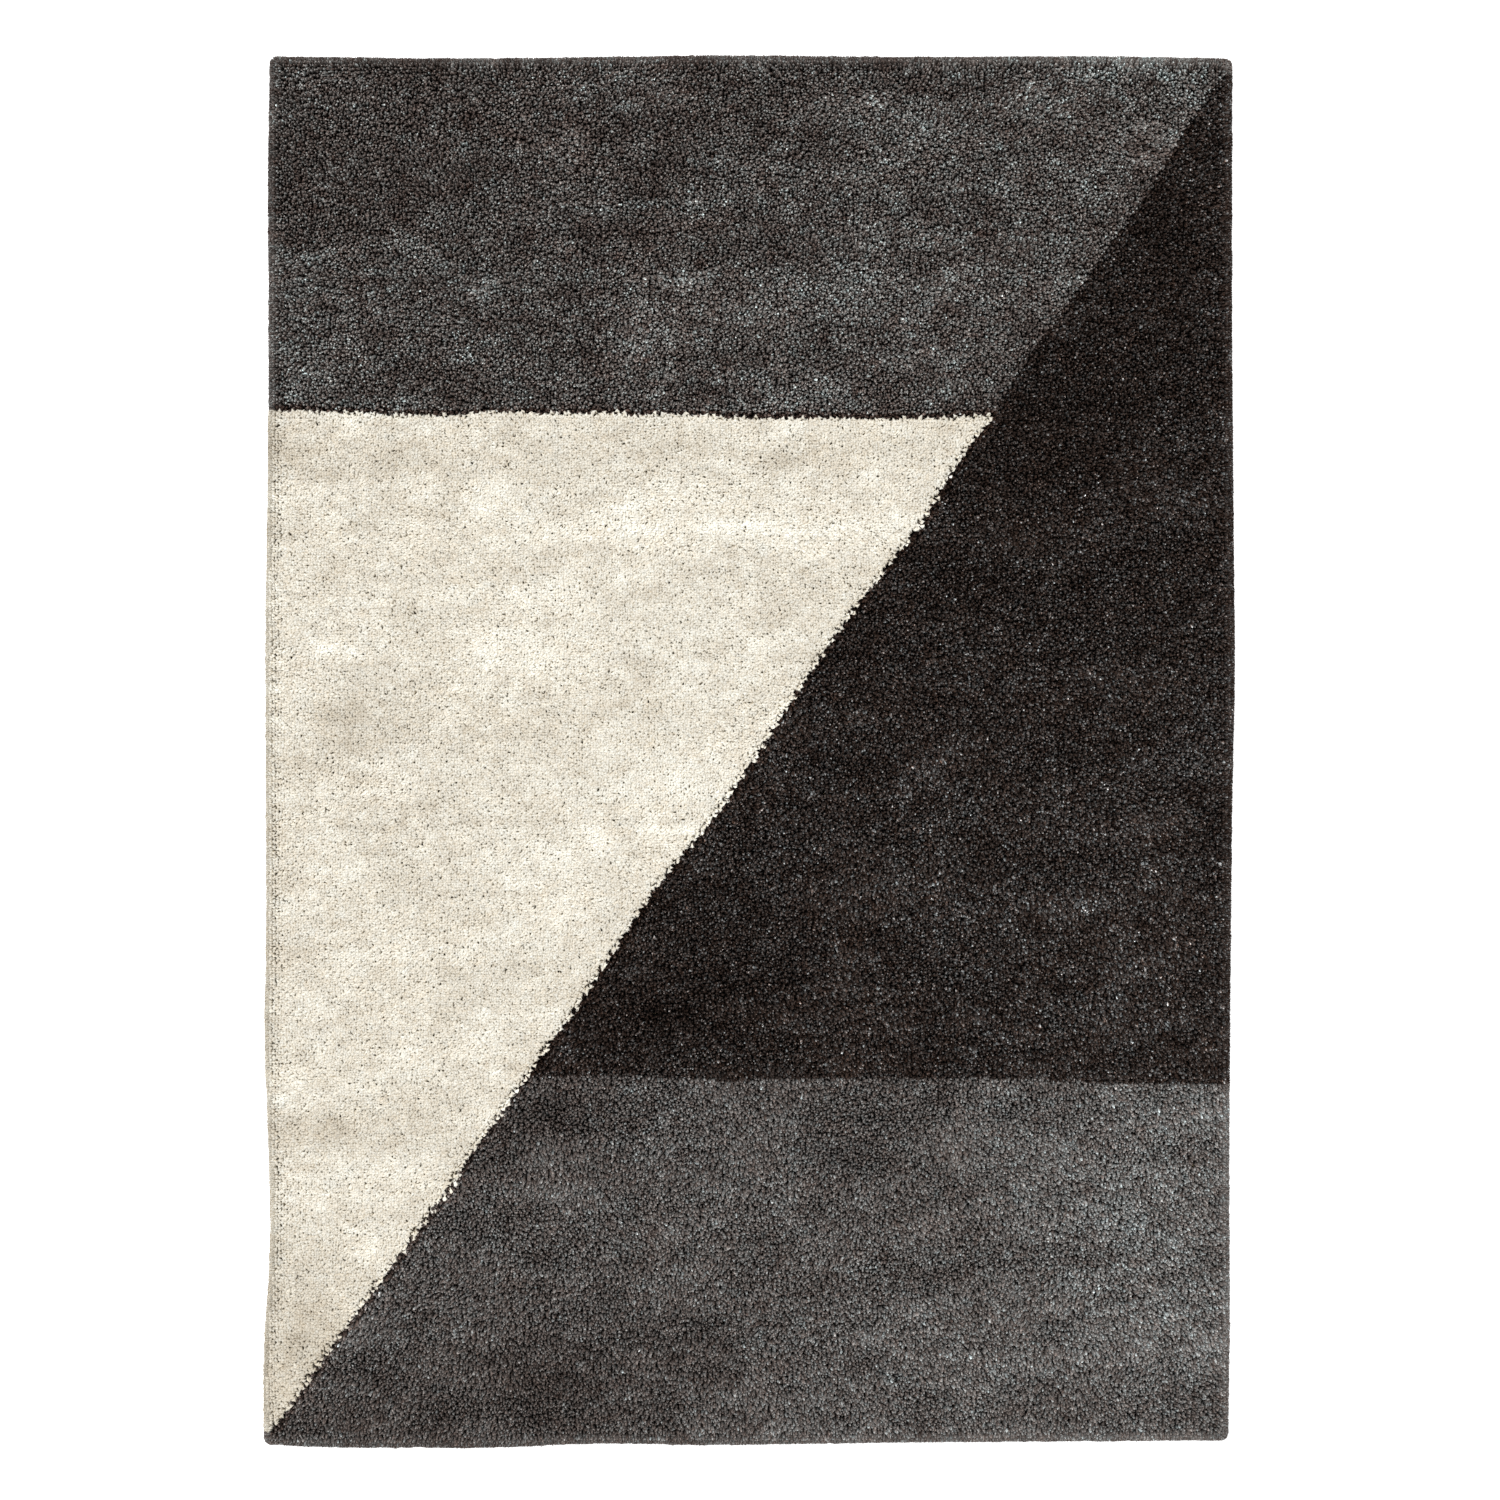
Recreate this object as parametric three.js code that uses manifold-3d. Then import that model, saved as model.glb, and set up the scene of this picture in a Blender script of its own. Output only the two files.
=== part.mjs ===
// A flat rectangular area rug with a cut pile in four colour fields, divided by a long diagonal.
// Millimetres, +Z up, +Y along the rug's length. The underside lies on z = 0.

import * as THREE from 'three';
import { mergeVertices } from 'three/addons/utils/BufferGeometryUtils.js';
import Module from 'manifold-3d';

// Plan of the rug
const width = 1600;
const length = 2300;
const cornerRadius = 14;

// Heights, counted up from the floor
const gap = 0.3;
const latexThickness = 0.9;
const clothThickness = 2.6;
const rugHeight = 24;
const clothBottom = latexThickness + gap;
const clothTop = clothBottom + clothThickness;
const pileBottom = clothTop + gap;

// The overlocked edge: yarn wrapped round a filler cord and the margin of the cloth
const pileOverhang = 2;
const sergingWidth = 10.6;
const sergingWall = 1.5;
const sergingTop = pileBottom + sergingWall;
const sergingRound = 0.8;
const cordDiameter = 2.6;
const cordBevel = 0.75;

// How far each line of the edge lies inside the outline of the pile
const sergingInset = pileOverhang;
const cordInset = sergingInset + sergingWall + gap;
const clothInset = cordInset + cordDiameter + gap;
const sergingInnerInset = sergingInset + sergingWidth;
const tuftedInset = sergingInnerInset + gap;

// The pile flares out over the serging and rounds over at its top
const pileFlareBottom = sergingTop + gap;
const pileBevel = 6;

// The edges of a rug wander a little. These are where its four corners would be if they weren't rounded, and
// for each side, counter-clockwise, places along it from the middle of the rug with the distance outwards there.
const corners = {
  bottomLeft: new THREE.Vector2(-805, -1151.5),
  bottomRight: new THREE.Vector2(794.5, -1144),
  topRight: new THREE.Vector2(801, 1147),
  topLeft: new THREE.Vector2(-795.5, 1150.5),
};
const sides = {
  bottom: {
    from: corners.bottomLeft,
    to: corners.bottomRight,
    along: 'x',
    wander: [[-662, 6.3], [-540, 5.5], [-438, 7], [-290, 0.2], [-190, -0.6], [-65, 2.5], [60, 0.2],
      [320, -2.9]],
    pointCount: 20,
  },
  right: {
    from: corners.bottomRight,
    to: corners.topRight,
    along: 'y',
    wander: [[-900, -3], [-720, -4.3], [-424, -2.3], [-127, 0.5], [60, 4.3], [171, 5.3], [420, 2.8],
      [717, 0.7]],
    pointCount: 26,
  },
  top: {
    from: corners.topRight,
    to: corners.topLeft,
    along: 'x',
    wander: [[570, 1], [260, -0.3], [-16, 2.3], [-165, 1.1], [-463, -2.7]],
    pointCount: 20,
  },
  left: {
    from: corners.topLeft,
    to: corners.bottomLeft,
    along: 'y',
    wander: [[960, -1.2], [720, -2.5], [450, -1.3], [180, 2.3], [-300, 1.3], [-470, 4.3], [-640, -2],
      [-820, -6], [-900, -1], [-1000, 5.5]],
    pointCount: 26,
  },
};
const cornerPointCount = 4;

// Where the colour fields part, from the middle of the rug. The diagonal has two knees, where the cross lines
// meet it. Each line wanders a little. All but the one between the knees run from a knee out past the edge.
const upperKnee = [399, 553];
const lowerKnee = [-371, -538];
const partings = {
  crossLeft: [upperKnee, [-24, 552], [-273, 559], [-570, 556], [-800, 564]],
  head: [upperKnee, [493, 696], [567, 795], [655, 915], [698, 994], [800, 1138]],
  middle: [lowerKnee, [-308, -454], [-171, -247], [-42, -82], [67, 84], [182, 249], [281, 373], [355, 497],
    upperKnee],
  foot: [lowerKnee, [-544, -785], [-698, -992], [-800, -1142]],
  crossRight: [lowerKnee, [-210, -536], [-40, -544], [230, -540], [460, -541], [590, -550], [800, -551]],
};
const beyondEdge = 60;

// Cutting shapes reach this far above and below the floor, and walls this far past the ends of their lines.
const cutReach = 2 * rugHeight;
const wallOverrun = 1;

const wasm = await Module();
wasm.setup();

// Joining and cutting

function toSolid(geometry) {
  geometry.deleteAttribute('normal');
  geometry.deleteAttribute('uv');
  const merged = mergeVertices(geometry);
  return new wasm.Manifold(new wasm.Mesh({
    numProp: 3,
    vertProperties: new Float32Array(merged.attributes.position.array),
    triVerts: new Uint32Array(merged.index.array),
  }));
}

function toGeometry(solid) {
  const mesh = solid.getMesh();
  const geometry = new THREE.BufferGeometry();
  geometry.setAttribute('position', new THREE.BufferAttribute(mesh.vertProperties, 3));
  geometry.setIndex(new THREE.BufferAttribute(mesh.triVerts, 1));
  geometry.computeVertexNormals();
  return geometry;
}

// The outline of the rug

function moveInwards(point, inset) {
  return new THREE.Vector2(point.x - Math.sign(point.x) * inset, point.y - Math.sign(point.y) * inset);
}

// The straight run of one side, moved inwards by inset, between the roundings of its two corners.
function sideOutline({ from, to, along, wander, pointCount }, inset) {
  const start = moveInwards(from, inset);
  const end = moveInwards(to, inset);
  const run = new THREE.Vector2();
  run[along] = Math.sign(end[along] - start[along]) * (cornerRadius - inset);
  const outward = along === 'x' ? Math.sign(from.y) : Math.sign(from.x);
  const between = wander.map(([place, out]) => (along === 'x'
    ? new THREE.Vector2(place, outward * (length / 2 + out - inset))
    : new THREE.Vector2(outward * (width / 2 + out - inset), place)));
  const curve = new THREE.SplineCurve([start.add(run), ...between, end.sub(run)]);
  return curve.getSpacedPoints(pointCount);
}

// The closed outline, counter-clockwise, inset from the outermost line of the pile.
function outline(inset) {
  const runs = Object.values(sides).map((side) => ({ to: side.to, points: sideOutline(side, inset) }));
  return runs.flatMap(({ to, points }, index) => {
    const nextStart = runs[(index + 1) % runs.length].points[0];
    const corner = new THREE.QuadraticBezierCurve(points.at(-1), moveInwards(to, inset), nextStart);
    return [...points.slice(1, -1), ...corner.getPoints(cornerPointCount)];
  });
}

function slab(points, low, high, bevel = 0, bevelSegments = 2) {
  const geometry = new THREE.ExtrudeGeometry(new THREE.Shape(points), {
    depth: high - low - 2 * bevel,
    bevelEnabled: bevel > 0,
    bevelSize: bevel,
    bevelOffset: -bevel,
    bevelThickness: bevel,
    bevelSegments,
  });
  geometry.translate(0, 0, low + bevel);
  return toSolid(geometry);
}

// Pile

// The points of a parting line. One that runs outwards is taken on past its last point.
function partingPoints([name, places]) {
  const points = places.map(([x, y]) => new THREE.Vector2(x, y));
  if (name !== 'middle') {
    const [before, last] = points.slice(-2);
    points.push(last.clone().addScaledVector(last.clone().sub(before).normalize(), beyondEdge));
  }
  return [name, points];
}

// A thin upright wall along a straight stretch between two fields. Taken out of the pile, it parts them.
function partingWall(from, to) {
  const run = to.clone().sub(from);
  const geometry = new THREE.BoxGeometry(run.length() + 2 * wallOverrun, gap, 2 * cutReach);
  geometry.rotateZ(run.angle());
  geometry.translate((from.x + to.x) / 2, (from.y + to.y) / 2, 0);
  return toSolid(geometry);
}

function makePileFields() {
  const lines = Object.fromEntries(Object.entries(partings).map(partingPoints));
  const walls = Object.values(lines).flatMap((points) => (
    points.slice(1).map((point, index) => partingWall(points[index], point))));
  const root = slab(outline(tuftedInset), pileBottom, pileFlareBottom + pileBevel);
  const body = slab(outline(0), pileFlareBottom, rugHeight, pileBevel);
  const pile = walls.reduce((solid, wall) => solid.subtract(wall), body.add(root));

  const { crossLeft, head, middle, foot, crossRight } = lines;
  const farCorner = new THREE.Vector2(width / 2 + 2 * beyondEdge, length / 2 + 2 * beyondEdge);
  const corner = (x, y) => new THREE.Vector2(x, y).multiply(farCorner);
  const fields = {
    pile_top_grey: [...crossLeft.toReversed(), ...head.slice(1), corner(1, 1), corner(-1, 1)],
    pile_cream: [...foot.toReversed(), ...middle.slice(1), ...crossLeft.slice(1)],
    pile_charcoal: [...middle, ...head.slice(1), ...crossRight.toReversed().slice(0, -1)],
    pile_lower_grey: [...foot.toReversed(), ...crossRight.slice(1), corner(1, -1), corner(-1, -1)],
  };
  return Object.entries(fields).map(([name, points]) => {
    const prism = slab(points, -cutReach, cutReach);
    return [name, toGeometry(pile.intersect(prism))];
  });
}

// Backing

function makeGroundCloth() {
  return toGeometry(slab(outline(clothInset), clothBottom, clothTop));
}

function makeLatexCoat() {
  return toGeometry(slab(outline(tuftedInset), 0, latexThickness));
}

// Edges

function box(lowX, lowY, highX, highY) {
  const geometry = new THREE.BoxGeometry(highX - lowX, highY - lowY, 2 * cutReach);
  geometry.translate((lowX + highX) / 2, (lowY + highY) / 2, 0);
  return toSolid(geometry);
}

// The room round a long side between the roundings of its corners, short of them by margin.
function sideRoom(side, low, high, margin) {
  const bandDepth = 3 * cornerRadius;
  const fromY = low.y + cornerRadius + margin;
  const toY = high.y - cornerRadius - margin;
  return box(side * width / 2 - bandDepth, fromY, side * width / 2 + bandDepth, toY);
}

// The four stretches of an edge band: the two long sides, and the two ends, which turn round the corners.
function splitAtCorners(band, prefix) {
  const leftRoom = (margin) => sideRoom(-1, corners.bottomLeft, corners.topLeft, margin);
  const rightRoom = (margin) => sideRoom(1, corners.bottomRight, corners.topRight, margin);
  const ends = band.subtract(leftRoom(0)).subtract(rightRoom(0));
  const stretches = {
    left: band.intersect(leftRoom(gap)),
    right: band.intersect(rightRoom(gap)),
    top: ends.intersect(box(-width, 0, width, length)),
    bottom: ends.intersect(box(-width, -length, width, 0)),
  };
  return Object.entries(stretches).map(([side, solid]) => [`${prefix}_${side}`, toGeometry(solid)]);
}

// Wrapped yarn: a C in section, open inwards where the margin of the cloth goes in.
function makeEdgeSergings() {
  const whole = slab(outline(sergingInset), 0, sergingTop, sergingRound);
  const inside = slab(outline(sergingInnerInset), -cutReach, cutReach);
  const slot = slab(outline(sergingInset + sergingWall), latexThickness, pileBottom);
  return splitAtCorners(whole.subtract(inside).subtract(slot), 'edge_serging');
}

// The filler cord inside each serging, eight-sided in section.
function makeEdgeCords() {
  const low = (clothBottom + clothTop - cordDiameter) / 2;
  const ring = new THREE.Shape(outline(cordInset));
  ring.holes.push(new THREE.Path(outline(cordInset + cordDiameter)));
  const geometry = new THREE.ExtrudeGeometry(ring, {
    depth: cordDiameter - 2 * cordBevel,
    bevelSize: cordBevel,
    bevelOffset: -cordBevel,
    bevelThickness: cordBevel,
    bevelSegments: 1,
  });
  geometry.translate(0, 0, low + cordBevel);
  return splitAtCorners(toSolid(geometry), 'edge_cord');
}

// Materials

const materials = {
  pile_top_grey: { color: 0x504d4a, roughness: 0.95 },
  pile_cream: { color: 0xe4dece, roughness: 0.95 },
  pile_charcoal: { color: 0x322d2b, roughness: 0.95 },
  pile_lower_grey: { color: 0x595654, roughness: 0.95 },
  ground_cloth: { color: 0xb3a07c, roughness: 0.9 },
  latex_coat: { color: 0xcfc6b2, roughness: 0.7 },
  edge_serging: { color: 0x4b4745, roughness: 0.85 },
  edge_cord: { color: 0xd9d2c1, roughness: 0.9 },
};

function materialOf(name) {
  const key = Object.keys(materials).find((start) => name.startsWith(start));
  return new THREE.MeshStandardMaterial({ ...materials[key], metalness: 0 });
}

// Assembly

const pieces = [
  ...makePileFields(),
  ['ground_cloth', makeGroundCloth()],
  ['latex_coat', makeLatexCoat()],
  ...makeEdgeSergings(),
  ...makeEdgeCords(),
];

const rug = new THREE.Group();
for (const [name, geometry] of pieces) {
  const mesh = new THREE.Mesh(geometry, materialOf(name));
  mesh.name = name;
  rug.add(mesh);
}

// The middle of the rug's own bounding box stands over the origin.
const middle = new THREE.Box2().setFromPoints(outline(0)).getCenter(new THREE.Vector2());
rug.position.set(-middle.x, -middle.y, 0);

export default rug;
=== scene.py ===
"""A cut-pile area rug, lying flat and seen from straight above.

Every tuft of the pile is real geometry: a bent yarn end that is rooted in the ground cloth. The outline and
the colour fields come from the CAD nodes. Everything is in metres, in the frame of the CAD model."""

import math
import bpy
import numpy as np
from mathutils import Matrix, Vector
from mathutils.bvhtree import BVHTree


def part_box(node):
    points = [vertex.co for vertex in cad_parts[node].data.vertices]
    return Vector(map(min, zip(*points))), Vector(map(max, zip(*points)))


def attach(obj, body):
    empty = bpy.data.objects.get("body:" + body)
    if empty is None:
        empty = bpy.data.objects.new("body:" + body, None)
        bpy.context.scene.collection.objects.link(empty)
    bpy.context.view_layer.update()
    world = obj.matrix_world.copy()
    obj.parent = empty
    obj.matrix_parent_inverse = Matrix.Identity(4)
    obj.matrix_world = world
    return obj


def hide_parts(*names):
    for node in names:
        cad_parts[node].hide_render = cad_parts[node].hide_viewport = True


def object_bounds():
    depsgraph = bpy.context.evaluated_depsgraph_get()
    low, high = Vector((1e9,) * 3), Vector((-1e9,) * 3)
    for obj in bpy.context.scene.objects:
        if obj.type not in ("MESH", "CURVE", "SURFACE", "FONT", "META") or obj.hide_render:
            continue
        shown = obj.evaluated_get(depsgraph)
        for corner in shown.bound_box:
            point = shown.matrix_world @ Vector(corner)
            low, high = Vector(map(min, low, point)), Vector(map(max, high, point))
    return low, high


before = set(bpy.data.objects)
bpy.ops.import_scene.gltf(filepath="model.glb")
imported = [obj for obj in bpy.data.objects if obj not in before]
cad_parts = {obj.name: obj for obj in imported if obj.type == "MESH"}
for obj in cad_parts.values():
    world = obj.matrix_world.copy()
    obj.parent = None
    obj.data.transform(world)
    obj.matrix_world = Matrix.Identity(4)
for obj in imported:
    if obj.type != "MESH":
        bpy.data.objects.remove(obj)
CAD_LOW, CAD_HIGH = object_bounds()
MM = 0.001
SEED = 498

# Places, from the CAD model
CLOTH_LOW, CLOTH_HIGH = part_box("ground_cloth")
LATEX_LOW, LATEX_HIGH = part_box("latex_coat")
PILE_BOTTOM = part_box("pile_cream")[0].z
PILE_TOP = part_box("pile_cream")[1].z

# How far each of these reaches past the tufted line, where the latex ends
FLARE = CAD_HIGH.x - LATEX_HIGH.x
SERGING_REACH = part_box("edge_serging_right")[1].x - LATEX_HIGH.x
CORD_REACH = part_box("edge_cord_right")[1].x - LATEX_HIGH.x
CLOTH_REACH = CLOTH_HIGH.x - LATEX_HIGH.x
# The radius of the small rounding at the corners of the tufted line
ROUNDING = 1.1 * MM
SIDES = ("left", "right", "top", "bottom")

# The colour fields: their CAD nodes and material slots. A field's number is its place in this list.
FIELDS = {
    "pile_top_grey": "pile_grey",
    "pile_cream": "pile_cream",
    "pile_charcoal": "pile_charcoal",
    "pile_lower_grey": "pile_light_grey",
}
TOP_GREY, CREAM = 0, 1

# Where a tuft stands: nowhere special, in the cream's or the dark fields' first row along a parting between
# them, in the second dark row from it, or at the rim of the rug
PLAIN, CREAM_SEAM, DARK_SEAM, SECOND_ROW, RIM = range(5)

# The loom and the yarn
TUFT_PITCH_X = 4.4 * MM
TUFT_PITCH_Y = 4.2 * MM
TUFT_JITTER = 0.9 * MM
TUFT_SIDES = 3
YARN_LENGTH = 20.2 * MM
TIP_WIDTH = 0.9 * MM
FACES_PER_PIECE = 190000

# A tuft has a ring of points at its root, at its waist and near its tip, and one point at its very tip. Each
# field has its own radii, and heights as shares of the yarn. The cream yarn is bulkier than the others.
ROOT_RADIUS = 6.0 * MM
WAIST_RADIUS = np.array([3.0, 5.4, 3.0, 3.0]) * MM
TIP_RADIUS = np.array([1.9, 3.4, 1.9, 1.9]) * MM
WAIST_HEIGHT = np.array([0.5, 0.82, 0.5, 0.5])
TIP_HEIGHT = np.array([0.92, 0.96, 0.92, 0.92])
# How bulky the outermost tufts of each field are, next to those inside
OUTER_BULK = np.array([0.85, 0.52, 0.85, 0.85])

# The three tiers of tufts at the edge of the pile, from the lowest: the share of the pile's height there that
# they rise to, and their bulk
RIM_TIERS = ((0.35, 0.6), (0.65, 0.7), (1.0, 0.85))

# The tone of each field: how deep its soft patches are, how much its tufts differ from one another, and how
# much the points of one tuft do. The dark tufts along the cream have a speckle of their own.
PATCH_DEPTH = np.array([0.17, 0.045, 0.165, 0.105])
SPECKLE = np.array([0.20, 0.03, 0.42, 0.20])
FLECK = np.array([0.52, 0.04, 0.90, 0.38])
SEAM_SPECKLE = 0.6
# How strongly the dye of each field follows the tone, which makes paler points cooler and darker ones warmer,
# partly as cool painted highlights and warm painted shade, and how much it differs from point to point
HUE_PULL = np.array([0.7, 3.5, 0.7, 0.7])
HUE_SCATTER = np.array([0.1, 0.3, 0.0, 0.3])
# The painted shade of the tufts by where they stand, in the field at the cream's head and in the others: the
# dark rows along the cream and the rim of the rug are painted darker, as painted shade in the partings and at
# the edge.
# The rows along the cream are darkest at its head, where the parting runs straight across the loom.
PAINTED_SHADE_AT_HEAD = np.array([1, 1, 0.24, 0.42, 0.75])
PAINTED_SHADE_ELSEWHERE = np.array([1, 1, 0.36, 0.65, 0.75])

# Soft patches of tone: their strength, and their size across and along the rug in millimetres
TONE_NOISE = ((0.25, 330, 200), (0.3, 120, 70), (0.5, 45, 28), (0.7, 17, 13), (0.3, 200, 12))

# Painted lay shading: patches painted lighter or darker where the lay of the pile would catch the light or
# turn it away. Their middle x and y, half length and half width in millimetres, and how much lighter or
# darker
CREAM_PAINTED_LAY_SHADING = (
    (-587, 492, 330, 40, -0.12),
    (21, 492, 300, 30, -0.05),
    (21, 373, 330, 30, 0.14),
    (-417, 419, 75, 45, 0.11),
    (-368, 152, 80, 45, 0.13),
    (-222, 225, 100, 50, 0.08),
    (-101, -43, 100, 42, 0.13),
    (-648, 55, 75, 55, -0.13),
    (-750, -330, 60, 30, -0.12),
    (-636, -456, 170, 60, 0.04),
    (-708, -626, 110, 32, -0.22),
    (-611, -699, 80, 38, 0.09),
    (-730, -960, 110, 150, -0.26),
)
DARK_PAINTED_LAY_SHADING = (
    (-587, 990, 350, 160, -0.24),
    (-260, 860, 180, 30, -0.22),
    (-344, 905, 50, 40, 0.18),
    (240, 985, 150, 140, 0.25),
    (520, 900, 120, 160, 0.10),
    (94, 784, 110, 36, 0.22),
    (-708, 784, 60, 60, 0.22),
    (82, 650, 300, 26, -0.12),
    (677, 1124, 85, 36, 0.40),
    (677, 881, 70, 170, -0.28),
    (600, 560, 130, 130, -0.22),
    (470, 500, 90, 150, -0.28),
    (190, 150, 60, 170, -0.12),
    (-151, -421, 200, 56, -0.38),
    (288, -188, 90, 130, 0.28),
    (726, 6, 70, 110, 0.34),
    (568, -431, 90, 36, 0.32),
    (531, -213, 250, 200, 0.16),
    (-344, -602, 110, 110, -0.35),
    (-400, -1064, 380, 110, -0.34),
    (653, -772, 170, 300, 0.42),
)


# Meshes


def mesh_object(name, points, faces, smooth=True):
    """A mesh object from its points and a list of arrays of faces, each with one face per row."""
    loops = np.concatenate([f.ravel() for f in faces]).astype(np.int32)
    sizes = np.concatenate([np.full(len(f), f.shape[1]) for f in faces])
    starts = np.concatenate([[0], np.cumsum(sizes)[:-1]]).astype(np.int32)
    mesh = bpy.data.meshes.new(name)
    mesh.vertices.add(len(points))
    mesh.vertices.foreach_set("co", np.ascontiguousarray(points, np.float32).ravel())
    mesh.loops.add(len(loops))
    mesh.loops.foreach_set("vertex_index", loops)
    mesh.polygons.add(len(sizes))
    mesh.polygons.foreach_set("loop_start", starts)
    mesh.polygons.foreach_set("use_smooth", np.full(len(sizes), smooth))
    mesh.update(calc_edges=True)
    thing = bpy.data.objects.new(name, mesh)
    bpy.context.scene.collection.objects.link(thing)
    return thing


def grid_faces(rows, columns, closed=False):
    """Quads over a grid of points stored row by row. A closed grid joins its last column to its first."""
    i, j = np.meshgrid(np.arange(rows - 1), np.arange(columns if closed else columns - 1), indexing="ij")
    i, j = i.ravel(), j.ravel()
    after = (j + 1) % columns
    row, next_row = i * columns, (i + 1) * columns
    return np.stack([row + j, row + after, next_row + after, next_row + j], axis=1)


def add_piece(thing, material, node):
    """Give a piece its material, and put it in the place of the CAD node that it stands for."""
    thing.data.materials.append(material)
    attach(thing, "root")
    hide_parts(node)


def sharpen(mesh, per_tuft):
    """Make the long edges of the tufts sharp, so that their sides are shaded as separate faces."""
    ends = np.empty(2 * len(mesh.edges), np.int32)
    mesh.edges.foreach_get("vertices", ends)
    ends = np.sort(ends.reshape(-1, 2) % per_tuft, axis=1)
    sharp = (ends[:, 1] - ends[:, 0] == TUFT_SIDES) | (ends[:, 1] == per_tuft - 1)
    layer = mesh.attributes.new("sharp_edge", "BOOLEAN", "EDGE")
    layer.data.foreach_set("value", sharp)


def add_values(mesh, name, values):
    """A value for each point of the mesh, for its material to read."""
    layer = mesh.attributes.new(name, "FLOAT", "POINT")
    layer.data.foreach_set("value", np.ascontiguousarray(values, np.float32))


def add_bake_layout(mesh, corners):
    """The unwrapped layout of the mesh, with one place for each face corner."""
    layer = mesh.uv_layers.new(name="OFBake")
    layer.data.foreach_set("uv", np.ascontiguousarray(corners, np.float32).ravel())


# The outline of the rug


class Outline:
    """The tufted line, as the CAD's latex coat has it, and how far a point lies inside each of its sides."""

    def __init__(self, node):
        points = np.array([v.co for v in node.data.vertices])
        low, high = points.min(axis=0), points.max(axis=0)
        near = 30 * MM
        self.left = self.side(points[points[:, 0] < low[0] + near], 1, 0)
        self.right = self.side(points[points[:, 0] > high[0] - near], 1, 0)
        self.bottom = self.side(points[points[:, 1] < low[1] + near], 0, 1)
        self.top = self.side(points[points[:, 1] > high[1] - near], 0, 1)

    @staticmethod
    def side(points, along, across):
        """The straight run of a side, without the small roundings at its ends."""
        ends = 1 * MM
        places = np.unique(np.round(points[:, [along, across]], 6), axis=0)
        run = (places[:, 0] > places[0, 0] + ends) & (places[:, 0] < places[-1, 0] - ends)
        return places[run, 0], places[run, 1]

    def depths(self, x, y):
        """Distances inside the left, right, bottom and top sides, as four arrays."""
        return (
            x - np.interp(y, *self.left),
            np.interp(y, *self.right) - x,
            y - np.interp(x, *self.bottom),
            np.interp(x, *self.top) - y,
        )

    def across(self, y, side):
        """Where the left side, -1, or the right side, 1, is at each y."""
        return np.interp(y, *(self.left if side < 0 else self.right))

    def along(self, x, side):
        """Where the bottom, -1, or the top, 1, is at each x."""
        return np.interp(x, *(self.bottom if side < 0 else self.top))

    def corner(self, side_x, side_y):
        """The middle of the small rounding at a corner."""
        y = self.along(side_x * CAD_HIGH.x, side_y)
        x = self.across(y, side_x)
        return np.array([x - side_x * ROUNDING, y - side_y * ROUNDING])


OUTLINE = Outline(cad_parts["latex_coat"])


def straight_run(x, y, outward):
    """Stations of an edge at these places, which all face the same way."""
    return np.stack([x, y], axis=1), np.tile(np.array(outward, float), (len(x), 1))


def rounded_run(centre, outward_x, outward_y):
    """Stations of an edge round a corner's small rounding, which face outwards."""
    outward = np.stack([outward_x, outward_y], axis=1)
    return centre + ROUNDING * outward, outward


def edge_frames(node, reach, step):
    """Stations about a step apart along a stretch of the edge, from the box of the node that runs there.

    They are places on the tufted line, directions outwards, and distances along the line that lies reach
    outside it."""
    low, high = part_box(node)
    name = node.rsplit("_", 1)[1]
    if name in ("left", "right"):
        side = -1 if name == "left" else 1
        y = np.linspace(low.y, high.y, round((high.y - low.y) / step))
        base, outward = straight_run(OUTLINE.across(y, side), y, (side, 0))
    else:
        # The top and the bottom stretch begin and end on the sides, round the corners.
        side = -1 if name == "bottom" else 1
        end_y = low.y if name == "top" else high.y
        first, last = OUTLINE.corner(-1, side), OUTLINE.corner(1, side)
        turn = np.linspace(0, math.pi / 2, round((reach + ROUNDING) * math.pi / 2 / step))[1:-1]
        x = np.linspace(first[0], last[0], round((last[0] - first[0]) / step))
        start_y = np.linspace(end_y, first[1], max(2, round(abs(first[1] - end_y) / step)))
        finish_y = np.linspace(last[1], end_y, max(2, round(abs(last[1] - end_y) / step)))
        runs = (
            straight_run(OUTLINE.across(start_y, -1), start_y, (-1, 0)),
            rounded_run(first, -np.cos(turn), side * np.sin(turn)),
            straight_run(x, OUTLINE.along(x, side), (0, side)),
            rounded_run(last, np.sin(turn), side * np.cos(turn)),
            straight_run(OUTLINE.across(finish_y, 1), finish_y, (1, 0)),
        )
        base, outward = (np.concatenate(arrays) for arrays in zip(*runs))
    middle = base + reach * outward
    along = np.concatenate([[0], np.cumsum(np.linalg.norm(np.diff(middle, axis=0), axis=1))])
    return base, outward, along


# Soft noise


def soft_noise(rng, x, y, cell_x, cell_y):
    """Smooth noise of about unit spread, with features of cell_x by cell_y."""
    unit_spread = 1.5
    across = int(math.ceil((x.max() - x.min()) / cell_x)) + 4
    along = int(math.ceil((y.max() - y.min()) / cell_y)) + 4
    grid = rng.normal(size=(along, across))
    u = (x - x.min()) / cell_x + 1
    v = (y - y.min()) / cell_y + 1
    i, j = np.floor(u).astype(int), np.floor(v).astype(int)
    fu, fv = u - i, v - j
    fu, fv = fu * fu * (3 - 2 * fu), fv * fv * (3 - 2 * fv)
    low = grid[j, i] * (1 - fu) + grid[j, i + 1] * fu
    high = grid[j + 1, i] * (1 - fu) + grid[j + 1, i + 1] * fu
    return (low * (1 - fv) + high * fv) * unit_spread


# Where the tufts stand and how they lean


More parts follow.
